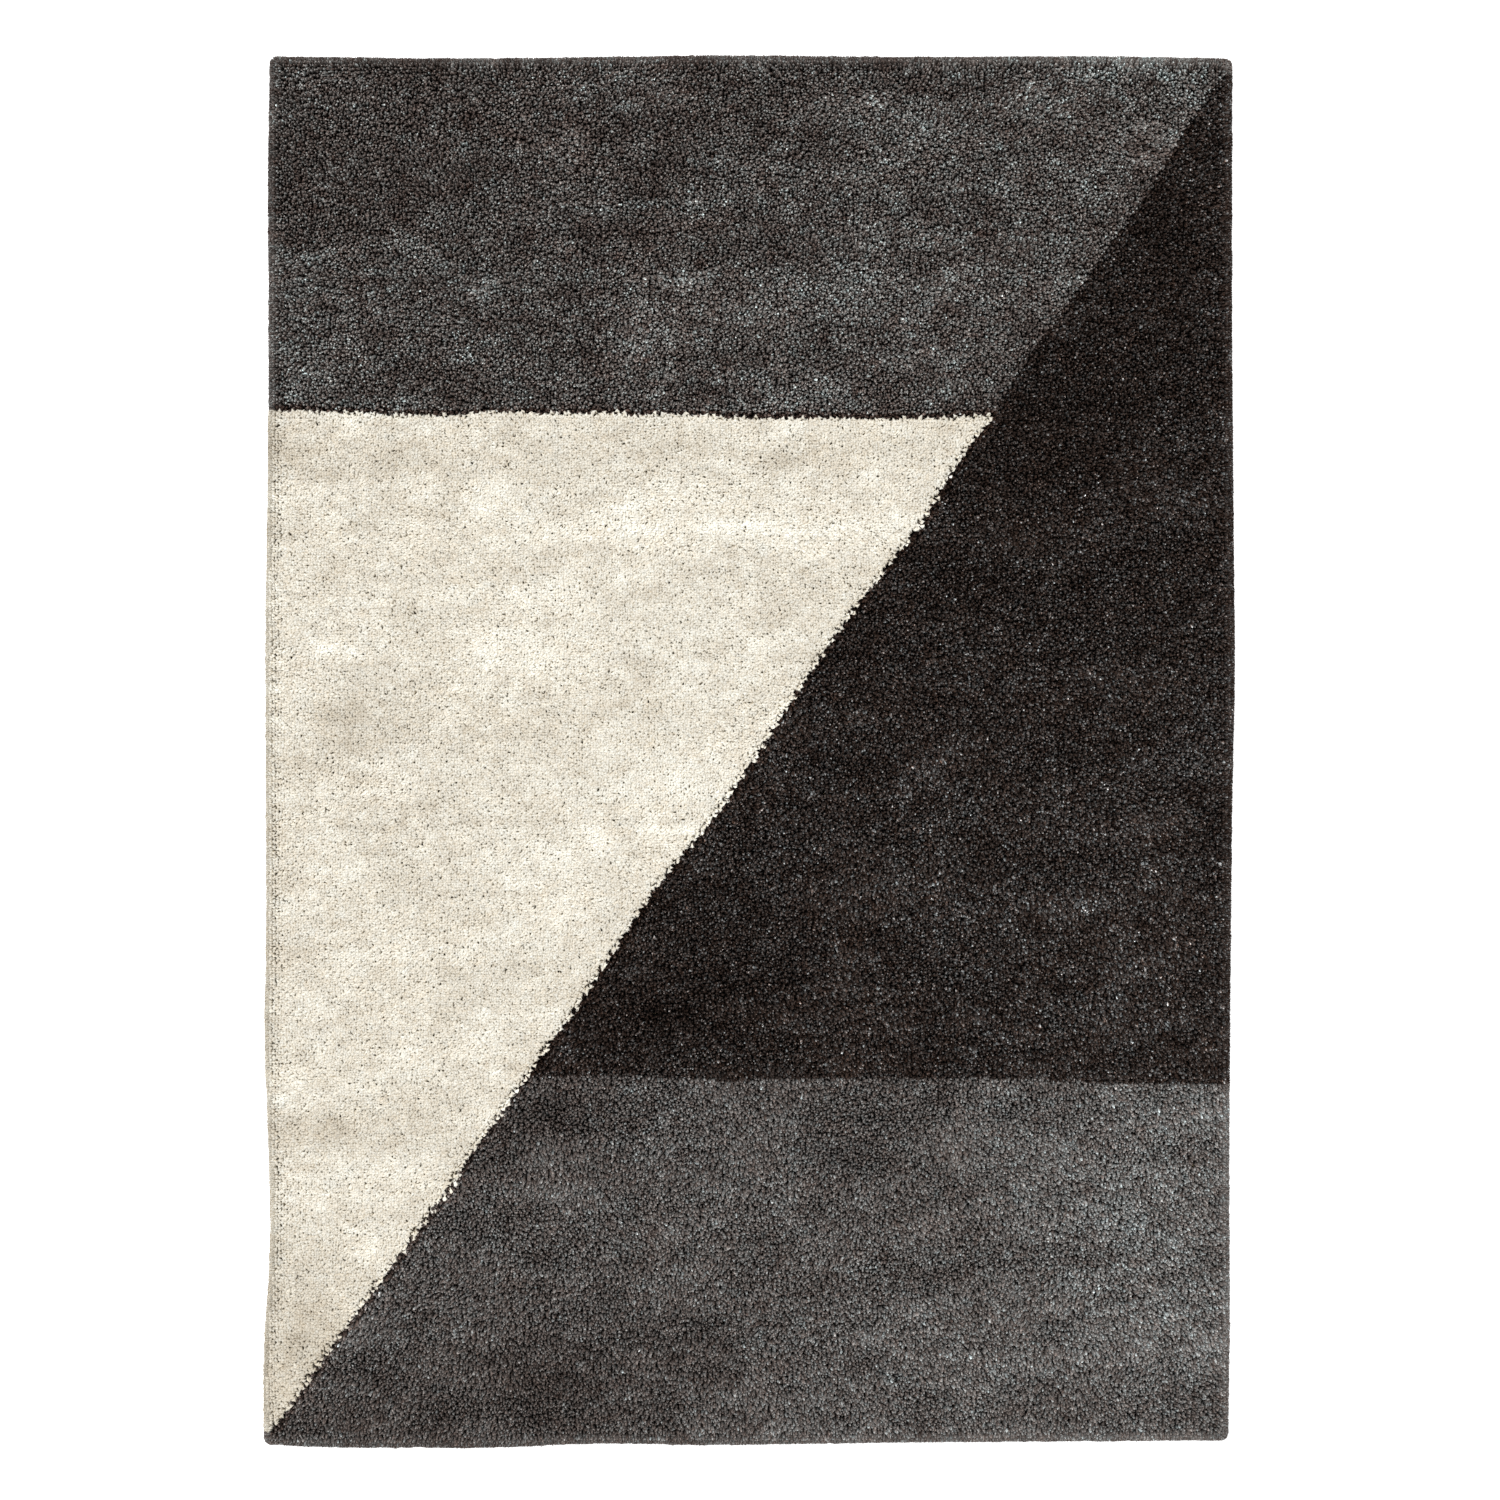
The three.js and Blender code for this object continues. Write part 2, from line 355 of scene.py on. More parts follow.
def field_of(x, y):
    """The number of the colour field that is rooted at each place, or -1 outside the tufted area."""
    trees = []
    for name in FIELDS:
        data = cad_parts[name].data
        points = [v.co.copy() for v in data.vertices]
        trees.append(BVHTree.FromPolygons(points, [tuple(p.vertices) for p in data.polygons]))
    found = np.full(len(x), -1)
    # A place in the hairline between two fields is looked for again a little to each side.
    nudges = ((0, 0), (0.4 * MM, 0.3 * MM), (-0.4 * MM, -0.3 * MM))
    below, tolerance = -10 * MM, 0.5 * MM
    up = Vector((0, 0, 1))
    for k in range(len(x)):
        for dx, dy in nudges:
            start = Vector((x[k] + dx, y[k] + dy, below))
            for number, tree in enumerate(trees):
                hit = tree.ray_cast(start, up)[0]
                if hit is not None and hit.z < PILE_BOTTOM + tolerance:
                    found[k] = number
                    break
            if found[k] >= 0:
                break
    return found


def beside(marked):
    """Which cells of the loom grid are marked or have a marked cell next to them."""
    result = np.zeros(marked.shape, bool)
    padded = np.pad(marked, 1)
    rows, columns = marked.shape
    for i in range(3):
        for j in range(3):
            result |= padded[i : i + rows, j : j + columns]
    return result


def away_from(kind):
    """For each cell of the loom grid, the way in which cells of a kind thin out, as a unit step or none."""
    padded = np.pad(kind.astype(float), 1, mode="edge")
    across = padded[:-2] + 2 * padded[1:-1] + padded[2:]
    along = padded[:, :-2] + 2 * padded[:, 1:-1] + padded[:, 2:]
    step_x = across[:, :-2] - across[:, 2:]
    step_y = along[:-2] - along[2:]
    length = np.maximum(np.hypot(step_x, step_y), 1)
    return step_x / length, step_y / length


def seam_kinds(field):
    """Where each tuft of the loom grid stands: along a parting between cream and dark, or nowhere special."""
    cream = field == CREAM
    dark = (field >= 0) & ~cream
    by_cream = beside(cream)
    kinds = np.where(dark & by_cream, DARK_SEAM, PLAIN)
    kinds[cream & beside(dark)] = CREAM_SEAM
    kinds[dark & ~by_cream & beside(dark & by_cream)] = SECOND_ROW
    return kinds


def sway(rng, x, y):
    """How far the lay of the pile drifts one way, in wide waves and narrow ones."""
    return MM * (soft_noise(rng, x, y, 160 * MM, 60 * MM) + 0.7 * soft_noise(rng, x, y, 50 * MM, 25 * MM))


def tuft_table(root, tip, field, seam, bulk, bend_out, bend_up):
    """One row for each tuft: the x and y of its root, and the x, y and z of its tip as seen from its root.

    Its yarn starts towards a point that is bend_out of the way out to the tip and bend_up of the way up."""
    count = len(field)
    return {
        "x": root[0],
        "y": root[1],
        "lean_x": tip[0],
        "lean_y": tip[1],
        "rise": tip[2],
        "field": field,
        "seam": seam,
        "bulk": bulk,
        "bend_out": np.full(count, bend_out),
        "bend_up": np.full(count, bend_up),
    }


def standing_tufts(rng):
    """The tufts of the loom grid."""
    columns = np.arange(LATEX_LOW.x, LATEX_HIGH.x, TUFT_PITCH_X)
    rows = np.arange(LATEX_LOW.y, LATEX_HIGH.y, TUFT_PITCH_Y)
    x, y = np.meshgrid(columns, rows)
    field = field_of(x.ravel(), y.ravel()).reshape(x.shape)
    outward_x, outward_y = away_from(field == CREAM)
    seam = seam_kinds(field)
    kept = field >= 0
    x, y, field, seam, outward_x, outward_y = (a[kept] for a in (x, y, field, seam, outward_x, outward_y))
    count = len(x)
    x = x + rng.uniform(-TUFT_JITTER, TUFT_JITTER, count)
    y = y + rng.uniform(-TUFT_JITTER, TUFT_JITTER, count)

    # Tufts splay the most along the partings, and the bulky cream yarn inside its field the least.
    angle = rng.uniform(0, 2 * math.pi, count)
    splay = np.where(seam > PLAIN, 1.5, np.where(field == CREAM, 0.5, 1))
    reach = rng.uniform(0.5, 5.0, count) * MM * splay
    sway_x, sway_y = sway(rng, x, y), sway(rng, x, y)
    # Along the diagonal the cream yarn, which is the bulkier, leans out over the dark yarn. Where the parting
    # runs straight across the loom it leans back a little instead.
    push = np.array([0.0, 3.2, 1.5, 0.0])[seam] * MM * rng.uniform(0.2, 1.8, count) * (1 - 1.2 * outward_y**2)
    nap = 2.0 * MM
    lean_x = reach * np.cos(angle) + sway_x + push * outward_x
    lean_y = reach * np.sin(angle) + sway_y - nap + push * outward_y

    # Towards the edge of the rug they lean less at random and more outwards, and the cream ones are slimmer.
    fan_width, fan_lean = 22 * MM, 5 * MM
    bulk = np.where(seam == CREAM_SEAM, 0.85, 1)
    left, right, bottom, top = OUTLINE.depths(x, y)
    for depth, lean, sign in ((left, lean_x, -1), (right, lean_x, 1), (bottom, lean_y, -1), (top, lean_y, 1)):
        share = np.clip(1 - depth / fan_width, 0, 1)
        lean *= 1 - 0.7 * share
        lean += sign * fan_lean * share**2
        bulk = bulk * np.where(field == CREAM, 1 - 0.35 * share**2, 1)

    # The yarns are cut to nearly the same length, and the dark ones along the cream a little shorter.
    unevenness = np.where(field == CREAM, 0.022, 0.035) * rng.normal(size=count)
    yarn = YARN_LENGTH * (1 + unevenness) * np.where(seam >= DARK_SEAM, 0.9, 1)
    past_lean = 8 * MM
    yarn = np.maximum(yarn, np.hypot(lean_x, lean_y) + past_lean)
    rise = np.sqrt(yarn**2 - lean_x**2 - lean_y**2)
    return tuft_table((x, y), (lean_x, lean_y, rise), field, seam, bulk, bend_out=0.18, bend_up=0.62)


def shoulder(over):
    """How high the pile's top is above the ground cloth, at a distance outside the tufted line."""
    bevel = 6 * MM
    return PILE_TOP - PILE_BOTTOM - bevel * np.clip((over - FLARE + bevel) / bevel, 0, 1) ** 2


def spilling_tufts(rng):
    """Tufts of the outermost rows that spill over the serging and stand up again in the pile's overhang."""
    pitch = 3.2 * MM
    columns = np.arange(CAD_LOW.x, CAD_HIGH.x, pitch)
    rows = np.arange(CAD_LOW.y, CAD_HIGH.y, pitch)
    x, y = (a.ravel() for a in np.meshgrid(columns, rows))
    x = x + rng.uniform(-1, 1, len(x)) * MM
    y = y + rng.uniform(-1, 1, len(y)) * MM
    left, right, bottom, top = OUTLINE.depths(x, y)
    over_x = np.maximum(-right, 0) - np.maximum(-left, 0)
    over_y = np.maximum(-top, 0) - np.maximum(-bottom, 0)
    over = np.hypot(over_x, over_y)
    nearest, farthest = 1 * MM, FLARE - 2 * MM
    kept = (over > nearest) & (over < farthest)
    x, y, over_x, over_y, over = (a[kept] for a in (x, y, over_x, over_y, over))
    # The tips stay where they are, and the roots are set in from the tufted line.
    inward = rng.uniform(0.5, 4.5, len(x)) * MM / over
    lean_x, lean_y = over_x * (1 + inward), over_y * (1 + inward)
    rise = shoulder(over) - rng.uniform(0, 4, len(x)) * MM
    x, y = x - lean_x, y - lean_y
    field = field_of(x, y)
    seam = np.full(len(x), PLAIN)
    bulk = OUTER_BULK[field]
    return tuft_table((x, y), (lean_x, lean_y, rise), field, seam, bulk, bend_out=0.85, bend_up=0.35)


def rim_tufts(rng):
    """The outermost yarn ends, side by side along the edge of the pile and in three tiers down its side."""
    spacing = 2.0 * MM
    ripple_height, ripple_length = 0.35 * MM, 9 * MM
    top_inset = 0.7 * MM
    tables = []
    for side in SIDES:
        for height, slimness in RIM_TIERS:
            topmost = height == 1
            base, outward, along = edge_frames(f"edge_serging_{side}", FLARE, spacing)
            count = len(base)
            ripple = ripple_height * soft_noise(rng, along, 0 * along, ripple_length, ripple_length)
            ripple = ripple - rng.uniform(0, 0.5, count) * MM
            over = FLARE - TIP_WIDTH + ripple - (top_inset if topmost else 0)
            inside = rng.uniform(0.5, 3.5, count) * MM
            along_jitter = rng.uniform(-1, 1, count) * MM
            tangent = np.stack([-outward[:, 1], outward[:, 0]], axis=1)
            root = base - inside[:, None] * outward
            tip = base + over[:, None] * outward + along_jitter[:, None] * tangent
            lean = tip - root
            rise = (shoulder(FLARE) - rng.uniform(0, 3, count) * MM) * height
            if not topmost:
                rise = rise * rng.uniform(0.75, 1.25, count)
            field = field_of(root[:, 0], root[:, 1])
            seam = np.full(count, RIM)
            bulk = slimness * OUTER_BULK[field]
            table = tuft_table(root.T, (*lean.T, rise), field, seam, bulk, bend_out=0.85, bend_up=0.5)
            tables.append(table)
    return {key: np.concatenate([t[key] for t in tables]) for key in tables[0]}


def make_tufts(rng):
    """All tufts that are rooted in one of the fields."""
    kinds = [standing_tufts(rng), spilling_tufts(rng), rim_tufts(rng)]
    tufts = {key: np.concatenate([kind[key] for kind in kinds]) for key in kinds[0]}
    kept = tufts["field"] >= 0
    return {key: values[kept] for key, values in tufts.items()}


# The shape of the tufts


def tuft_pattern():
    """The triangles of one tuft, as point numbers, and where each of their corners lies in its bake cell."""
    # The foot is at the bottom of the cell. The two bands of the sides are above it, and the tip on top.
    band_edges = (0.08, 0.48, 0.88)
    corners = [((2, 0.8, 0.02), (1, 0.2, 0.02), (0, 0.5, 0.06))]
    for ring, (low, high) in enumerate(zip(band_edges, band_edges[1:])):
        for k in range(TUFT_SIDES):
            a, b = ring * TUFT_SIDES + k, ring * TUFT_SIDES + (k + 1) % TUFT_SIDES
            from_u, to_u = k / TUFT_SIDES, (k + 1) / TUFT_SIDES
            first, second = (a, from_u, low), (b + TUFT_SIDES, to_u, high)
            corners.append((first, (b, to_u, low), second))
            corners.append((first, second, (a + TUFT_SIDES, from_u, high)))
    last_ring, tip_point = 2 * TUFT_SIDES, 3 * TUFT_SIDES
    for k in range(TUFT_SIDES):
        a = (last_ring + k, k / TUFT_SIDES, band_edges[-1])
        b = (last_ring + (k + 1) % TUFT_SIDES, (k + 1) / TUFT_SIDES, band_edges[-1])
        corners.append((a, b, (tip_point, (k + 0.5) / TUFT_SIDES, 1.0)))
    corners = np.array(corners)
    return corners[..., 0].astype(int), corners[..., 1:]


def tuft_points(rng, tufts):
    """The points of each tuft, ring by ring with the tip last, and how high up its yarn each of them is."""
    count = len(tufts["x"])
    field = tufts["field"]
    twist = rng.uniform(0, 2 * math.pi, count)
    twist_of_yarn = 1.1
    size = rng.normal(1.0, 0.12, count) * tufts["bulk"]
    wobble = 0.6 * MM
    root = np.stack([tufts["x"], tufts["y"], np.full(count, PILE_BOTTOM)], axis=1)
    tip = root + np.stack([tufts["lean_x"], tufts["lean_y"], tufts["rise"]], axis=1)
    bend = root.copy()
    bend[:, 0] += tufts["bend_out"] * tufts["lean_x"] + rng.normal(0, wobble, count)
    bend[:, 1] += tufts["bend_out"] * tufts["lean_y"] + rng.normal(0, wobble, count)
    bend[:, 2] += tufts["bend_up"] * tufts["rise"]
    shares = (np.zeros(count), WAIST_HEIGHT[field], TIP_HEIGHT[field])
    radii = (np.full(count, ROOT_RADIUS), WAIST_RADIUS[field] * size, TIP_RADIUS[field] * size)
    points = []
    heights = []
    for ring, (share, radius) in enumerate(zip(shares, radii)):
        # The yarn is a curve from root to tip, drawn towards the bend.
        t = share[:, None]
        centre = (1 - t) ** 2 * root + 2 * t * (1 - t) * bend + t * t * tip
        along = 2 * (1 - t) * (bend - root) + 2 * t * (tip - bend)
        if ring == 0:
            along = np.tile([0.0, 0.0, 1.0], (count, 1))
        along /= np.linalg.norm(along, axis=1, keepdims=True)
        side = np.cross(along, [0.0, 1.0, 0.0])
        side /= np.linalg.norm(side, axis=1, keepdims=True)
        other = np.cross(along, side)
        for k in range(TUFT_SIDES):
            around = twist + 2 * math.pi * k / TUFT_SIDES + twist_of_yarn * share
            spoke = np.cos(around)[:, None] * side + np.sin(around)[:, None] * other
            place = centre + radius[:, None] * spoke
            if ring == 0:
                # The foot stays inside the tufted line.
                left, right = (OUTLINE.across(place[:, 1], side_x) for side_x in (-1, 1))
                place[:, 0] = np.clip(place[:, 0], left, right)
                bottom, top = (OUTLINE.along(place[:, 0], side_y) for side_y in (-1, 1))
                place[:, 1] = np.clip(place[:, 1], bottom, top)
            points.append(place)
            heights.append(share)
    points.append(tip)
    heights.append(np.ones(count))
    return np.stack(points, axis=1), np.stack(heights, axis=1)


def tuft_faces(count, per_tuft):
    """The triangles of a number of tufts, and the place of each of their corners in the bake layout."""
    pattern, cell = tuft_pattern()
    triangles = (np.arange(count)[:, None, None] * per_tuft + pattern[None]).reshape(-1, 3)
    # Each tuft has a square cell of its own, with a small margin.
    margin = 0.06
    across = math.ceil(math.sqrt(count))
    corner_cell = np.stack(np.divmod(np.arange(count), across), axis=1)[:, None, None, ::-1]
    return triangles, (corner_cell + margin + (1 - 2 * margin) * cell[None]) / across


# What the wear and the lay of the pile do to its tone and its colour


def painted_lay_shading(x, y, patches):
    """The sum of the patches of painted lay shading at each place."""
    total = np.zeros(len(x))
    for middle_x, middle_y, half_x, half_y, strength in patches:
        far = np.hypot((x - middle_x * MM) / (half_x * MM), (y - middle_y * MM) / (half_y * MM))
        total += strength * np.exp(-(far**2))
    return total


def field_tone(rng, x, y, number, seam):
    """A tone for each tuft: soft patches and streaks across the rug, stronger on the dark fields, with
    painted light and shade from the lay of the pile, painted glints, and painted shade along the partings and
    at the rim.
    """
    patches = sum(
        strength * soft_noise(rng, x, y, across * MM, along * MM) for strength, across, along in TONE_NOISE
    )
    speckle = np.where((seam == DARK_SEAM) | (seam == SECOND_ROW), SEAM_SPECKLE, SPECKLE[number])
    tone = np.exp(PATCH_DEPTH[number] * patches + speckle * rng.normal(size=len(x)))
    # Patches of painted light and shade from the lay of the pile.
    tone *= np.exp(np.where(number == CREAM, painted_lay_shading(x, y, CREAM_PAINTED_LAY_SHADING), painted_lay_shading(x, y, DARK_PAINTED_LAY_SHADING)))
    # A few yarn ends of the dark fields are painted paler, as painted glints of sheen on their fibres.
    painted_glint_share, painted_glint_tone = 0.06, 1.7
    tone *= np.where((rng.random(len(x)) < painted_glint_share) & (number != CREAM), painted_glint_tone, 1)
    # The rows along the partings with the cream and the rim are painted darker: painted shade.
    return tone * np.where(number == TOP_GREY, PAINTED_SHADE_AT_HEAD[seam], PAINTED_SHADE_ELSEWHERE[seam])


def yarn_hue(rng, x, y, seam):
    """Where each tuft lies between its field's warm and cool dyes. The rows of painted shade along the
    partings are painted warmer too.
    """
    hue = 0.44 + 0.1 * rng.normal(size=len(x)) + 0.08 * soft_noise(rng, x, y, 17 * MM, 13 * MM)
    return hue - np.where((seam == DARK_SEAM) | (seam == SECOND_ROW), 0.4, 0)


def add_yarn_values(rng, mesh, tufts, height, number):
    """The height, the tone and the hue of each point of a piece of the pile, for its material to read."""
    add_values(mesh, "height", height.ravel())
    flecks = np.exp(FLECK[number] * rng.normal(size=height.shape))
    tone = tufts["tone"][:, None] * flecks
    # Pale yarn ends are cooler than dark ones, partly as cool painted highlights, and the foot of the pile is
    # painted warmest, as warm painted shade between the tufts.
    painted_shade_warmth = 0.2
    hue = tufts["hue"][:, None] + HUE_PULL[number] * np.log(tone) - painted_shade_warmth * (1 - height)
    hue += HUE_SCATTER[number] * rng.normal(size=tone.shape)
    warmest, coolest = -1.1, 1.4
    add_values(mesh, "tone", tone.ravel())
    add_values(mesh, "hue", np.clip(hue, warmest, coolest).ravel())


def build_pile():
    """The tufts of each field, in pieces that follow one another from the foot of the rug to its head."""
    rng = np.random.default_rng(SEED)
    tufts = make_tufts(rng)
    tufts["tone"] = field_tone(rng, tufts["x"], tufts["y"], tufts["field"], tufts["seam"])
    tufts["hue"] = yarn_hue(rng, tufts["x"], tufts["y"], tufts["seam"])
    faces_each = len(tuft_pattern()[0])
    for number, (node, slot) in enumerate(FIELDS.items()):
        material = yarn_material(*YARNS[node])
        mine = np.flatnonzero(tufts["field"] == number)
        mine = mine[np.argsort(tufts["y"][mine], kind="stable")]
        parts = int(math.ceil(len(mine) * faces_each / FACES_PER_PIECE))
        for part, chosen in enumerate(np.array_split(mine, parts)):
            some = {key: values[chosen] for key, values in tufts.items()}
            points, height = tuft_points(rng, some)
            per_tuft = points.shape[1]
            triangles, layout = tuft_faces(len(chosen), per_tuft)
            piece = mesh_object(f"{node}_{part + 1}", points.reshape(-1, 3), [triangles])
            sharpen(piece.data, per_tuft)
            add_bake_layout(piece.data, layout)
            add_yarn_values(rng, piece.data, some, height, number)
            add_piece(piece, material, node)


# The backing


def rounded_plan(x, y):
    """The grid of a sheet with its square corners drawn in to round ones."""
    for side_x in (-1, 1):
        for side_y in (-1, 1):
            centre = OUTLINE.corner(side_x, side_y)
            out_x = np.maximum(side_x * (x - centre[0]), 0)
            out_y = np.maximum(side_y * (y - centre[1]), 0)
            both = (out_x > 0) & (out_y > 0)
            pull = np.maximum(out_x, out_y) / np.maximum(np.hypot(out_x, out_y), 1e-9)
            x = np.where(both, centre[0] + side_x * out_x * pull, x)
            y = np.where(both, centre[1] + side_y * out_y * pull, y)
    return x, y


def ribbed_sheet(name, node, over, pitch, columns, top_depth, bottom_depth):
    """A closed sheet that ends at a distance over past the tufted line, with ribs a pitch apart.

    The valleys between the ribs are top_depth deep on its top and bottom_depth deep on its underside."""
    low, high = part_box(node)
    rows = 2 * round((high.y - low.y) / pitch) + 1
    u, v = np.meshgrid(np.linspace(0, 1, columns), np.linspace(0, 1, rows))
    x = low.x + u * (high.x - low.x)
    bottom, top = OUTLINE.along(x, -1) - over, OUTLINE.along(x, 1) + over
    y = bottom + v * (top - bottom)
    left, right = OUTLINE.across(y, -1) - over, OUTLINE.across(y, 1) + over
    x, y = rounded_plan(left + u * (right - left), y)
    valley = (np.arange(rows) % 2)[:, None] * np.ones(columns)
    upper = np.stack([x, y, high.z - top_depth * valley], axis=2).reshape(-1, 3)
    lower = np.stack([x, y, low.z + bottom_depth * valley], axis=2).reshape(-1, 3)
    faces = grid_faces(rows, columns)
    number = np.arange(rows * columns).reshape(rows, columns)
    rim = np.concatenate([number[0, :-1], number[:-1, -1], number[-1, :0:-1], number[:0:-1, 0]])
    after = np.roll(rim, -1)
    count = rows * columns
    sides = np.stack([rim, rim + count, after + count, after], axis=1)
    thing = mesh_object(name, np.concatenate([upper, lower]), [faces, faces[:, ::-1] + count, sides])

    # The top is laid out on the left, the underside on the right and the rim in a strip at the far right.
    margin = 0.01
    half = np.array([0.47, 0.98])
    strip_left, strip_right = 0.985, 0.995
    plan = np.stack([u.ravel(), v.ravel()], axis=1)
    step = np.arange(len(rim))[:, None] / len(rim) + np.array([0, 0, 1, 1]) / len(rim)
    strip_u = np.tile([strip_left, strip_right, strip_right, strip_left], (len(rim), 1))
    strip = np.stack([strip_u, step], axis=2)
    layouts = [plan[faces] * half + margin, plan[faces[:, ::-1]] * half + (0.5, margin), strip]
    add_bake_layout(thing.data, np.concatenate([part.reshape(-1, 2) for part in layouts]))
    return thing


def softened(values, times):
    """The values, blurred along their last axis a number of times. The outermost are carried on outwards."""
    for _ in range(times):
        wide = np.concatenate([values[..., :1], values, values[..., -1:]], axis=-1)
        values = (wide[..., :-2] + 2 * wide[..., 1:-1] + wide[..., 2:]) / 4
    return values


def build_cloth():
    """The woven ground, with a rib for each weft."""
    columns = 25
    depths = 0.5 * MM, 0.3 * MM
    cloth = ribbed_sheet("woven_ground", "ground_cloth", CLOTH_REACH, TUFT_PITCH_Y, columns, *depths)
    add_piece(cloth, textile_material(*JUTE), "ground_cloth")
    add_values(cloth.data, "painted_shade_and_show_through", np.zeros(len(cloth.data.vertices)))


def build_latex():
    """The latex coat. The backs of the tufts show through it a little, with soft partings between fields."""
    columns = 81
    blurs_across, blurs_along = 3, 12
    depths = 0.0, 0.5 * MM
    latex = ribbed_sheet("latex_back", "latex_coat", 0, 2 * TUFT_PITCH_Y, columns, *depths)
    add_piece(latex, textile_material(*LATEX), "latex_coat")
    places = np.array([v.co for v in latex.data.vertices])
    # One value for each field, and the last for places outside the tufted area
    show_through = np.array([0.75, 0.0, 1.0, 0.65, 0.3])[field_of(places[:, 0], places[:, 1])]
    painted_shade_and_show_through = softened(show_through.reshape(2, -1, columns), blurs_across)
    painted_shade_and_show_through = softened(painted_shade_and_show_through.swapaxes(1, 2), blurs_along).swapaxes(1, 2)
    add_values(latex.data, "painted_shade_and_show_through", painted_shade_and_show_through.ravel())


# The overlocked edges


def sweep(name, base, outward, over, height):
    """A closed solid along the edge. over and height give the section at each station, one row each."""
    stations, count = over.shape
    plan = base[:, None] + over[..., None] * outward[:, None]
    points = np.concatenate([plan, height[..., None]], axis=2).reshape(-1, 3)
    faces = grid_faces(stations, count, closed=True)
    first = np.arange(count)
    caps = np.stack([first[::-1], first + (stations - 1) * count])

    # The long strip of faces is laid out in rows, and the two ends as discs in the row above them.
    rows = 8
    margin = 0.04
    per_row = math.ceil((stations - 1) / rows)
    station, around = np.divmod(np.arange(len(faces)), count)
    row, place = np.divmod(station, per_row)
    u = (place[:, None] + np.array([0, 0, 1, 1])) / per_row
    turned = (around[:, None] + np.array([0, 1, 1, 0])) / count
    v = (row[:, None] + margin + (1 - 2 * margin) * turned) / (rows + 1)
    strip = np.stack([u, v], axis=2)
    turn = 2 * math.pi * first / count
    disc_radius, disc_height = 0.04, 0.945
    disc = disc_radius * np.stack([np.cos(turn), np.sin(turn)], axis=1)
    ends = np.stack([disc[::-1] + (0.1, disc_height), disc + (0.3, disc_height)])

    # The faces point outwards when the section turns the right way round the run of the stations.
    middle = stations // 2
    run = base[middle + 1] - base[middle]
    if run[0] * outward[middle][1] - run[1] * outward[middle][0] > 0:
        faces, caps = faces[:, ::-1], caps[:, ::-1]
        strip, ends = strip[:, ::-1], ends[:, ::-1]
    thing = mesh_object(name, points, [faces, caps])
    add_bake_layout(thing.data, np.concatenate([strip.reshape(-1, 2), ends.reshape(-1, 2)]))
    return thing


def serging_section(low, high):
    """The C-shaped section with outwards to the right, and how many of its points are on the wrapped face.

    The points run anticlockwise, along the wrapped face first and then round the slot for the cloth."""
    inner, outer = 0.3 * MM, SERGING_REACH
    middle = (inner + outer) / 2
    wall = high - PILE_BOTTOM
    round_x, round_z = 3.0 * MM, (high - low) / 2
    turn = np.linspace(-math.pi / 2, math.pi / 2, 9)
    face_x = np.concatenate([[inner, middle], outer - round_x + round_x * np.cos(turn), [middle, inner]])
    face_z = np.concatenate([[low, low], low + round_z + round_z * np.sin(turn), [high, high]])
    slot_x = np.array([inner, outer - wall, outer - wall, inner])
    slot_z = np.array([PILE_BOTTOM, PILE_BOTTOM, LATEX_HIGH.z, LATEX_HIGH.z])
    return np.concatenate([face_x, slot_x]), np.concatenate([face_z, slot_z]), len(face_x)


def build_serging(side, material):
    """The overlock yarn of one stretch, wrapped in slanting turns with a valley between them, which is
    painted darker as painted shade.
    """
    wrap_pitch = 2.6 * MM
    wrap_depth = 0.6 * MM
    slant = 0.35
    node = f"edge_serging_{side}"
    low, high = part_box(node)
    base, outward, along = edge_frames(node, SERGING_REACH, wrap_pitch / 4)
    over, height, face_count = serging_section(low.z, high.z)
    middle_x, middle_z = SERGING_REACH / 2, (low.z + high.z) / 2
    phase = along[:, None] / wrap_pitch + slant * over[None] / wrap_pitch
    valley = (1 - np.abs(np.sin(math.pi * phase))) * wrap_depth
    valley[:, face_count:] = 0
    away = np.hypot(over - middle_x, height - middle_z)
    over = over - valley * (over - middle_x) / away
    height = height - valley * (height - middle_z) / away
    piece = sweep(f"serging_{side}", base, outward, over, height)
    # How deep each point lies in a valley, which the material paints darker: painted shade.
    add_values(piece.data, "painted_shade_and_show_through", (valley / wrap_depth).ravel())
    add_piece(piece, material, node)


def build_cord(side, material):
    """The filler cord of one stretch, which is laid from three strands, painted darker between them as
    painted shade.
    """
    lobe_depth = 0.13
    lay_length = 9 * MM
    node = f"edge_cord_{side}"
    low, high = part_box(node)
    radius = (high.z - low.z) / 2
    base, outward, along = edge_frames(node, CORD_REACH, 1.6 * MM)
    around = np.linspace(0, 2 * math.pi, 12, endpoint=False)[None]
    strand_count = 3
    strands = np.cos(strand_count * around + 2 * math.pi * along[:, None] / lay_length)
    lobes = radius * (1 - lobe_depth + lobe_depth * strands)
    over = CORD_REACH - radius + lobes * np.cos(around)
    height = (low.z + high.z) / 2 + lobes * np.sin(around)
    piece = sweep(f"filler_cord_{side}", base, outward, over, height)
    # How far each point lies between the strands, which the material paints darker: painted shade.
    add_values(piece.data, "painted_shade_and_show_through", (1 - lobes / radius).ravel() / (2 * lobe_depth))
    add_piece(piece, material, node)


def build_edges():
    """The serging and the filler cord of each of the four stretches of the edge."""
    serging_material = textile_material(*OVERLOCK)
    cord_material = textile_material(*COTTON)
    for side in SIDES:
        build_serging(side, serging_material)
        build_cord(side, cord_material)


# Materials


def new_material(name):
    """A material with a plain shader to build on."""
    material = bpy.data.materials.new(name)
    material.use_nodes = True
    return material


def multiplied(material, first, second):
    """The product of two sockets."""
    node = material.node_tree.nodes.new("ShaderNodeMath")
    node.operation = "MULTIPLY"
    for socket, value in zip(node.inputs, (first, second)):
        material.node_tree.links.new(value, socket)
    return node.outputs[0]


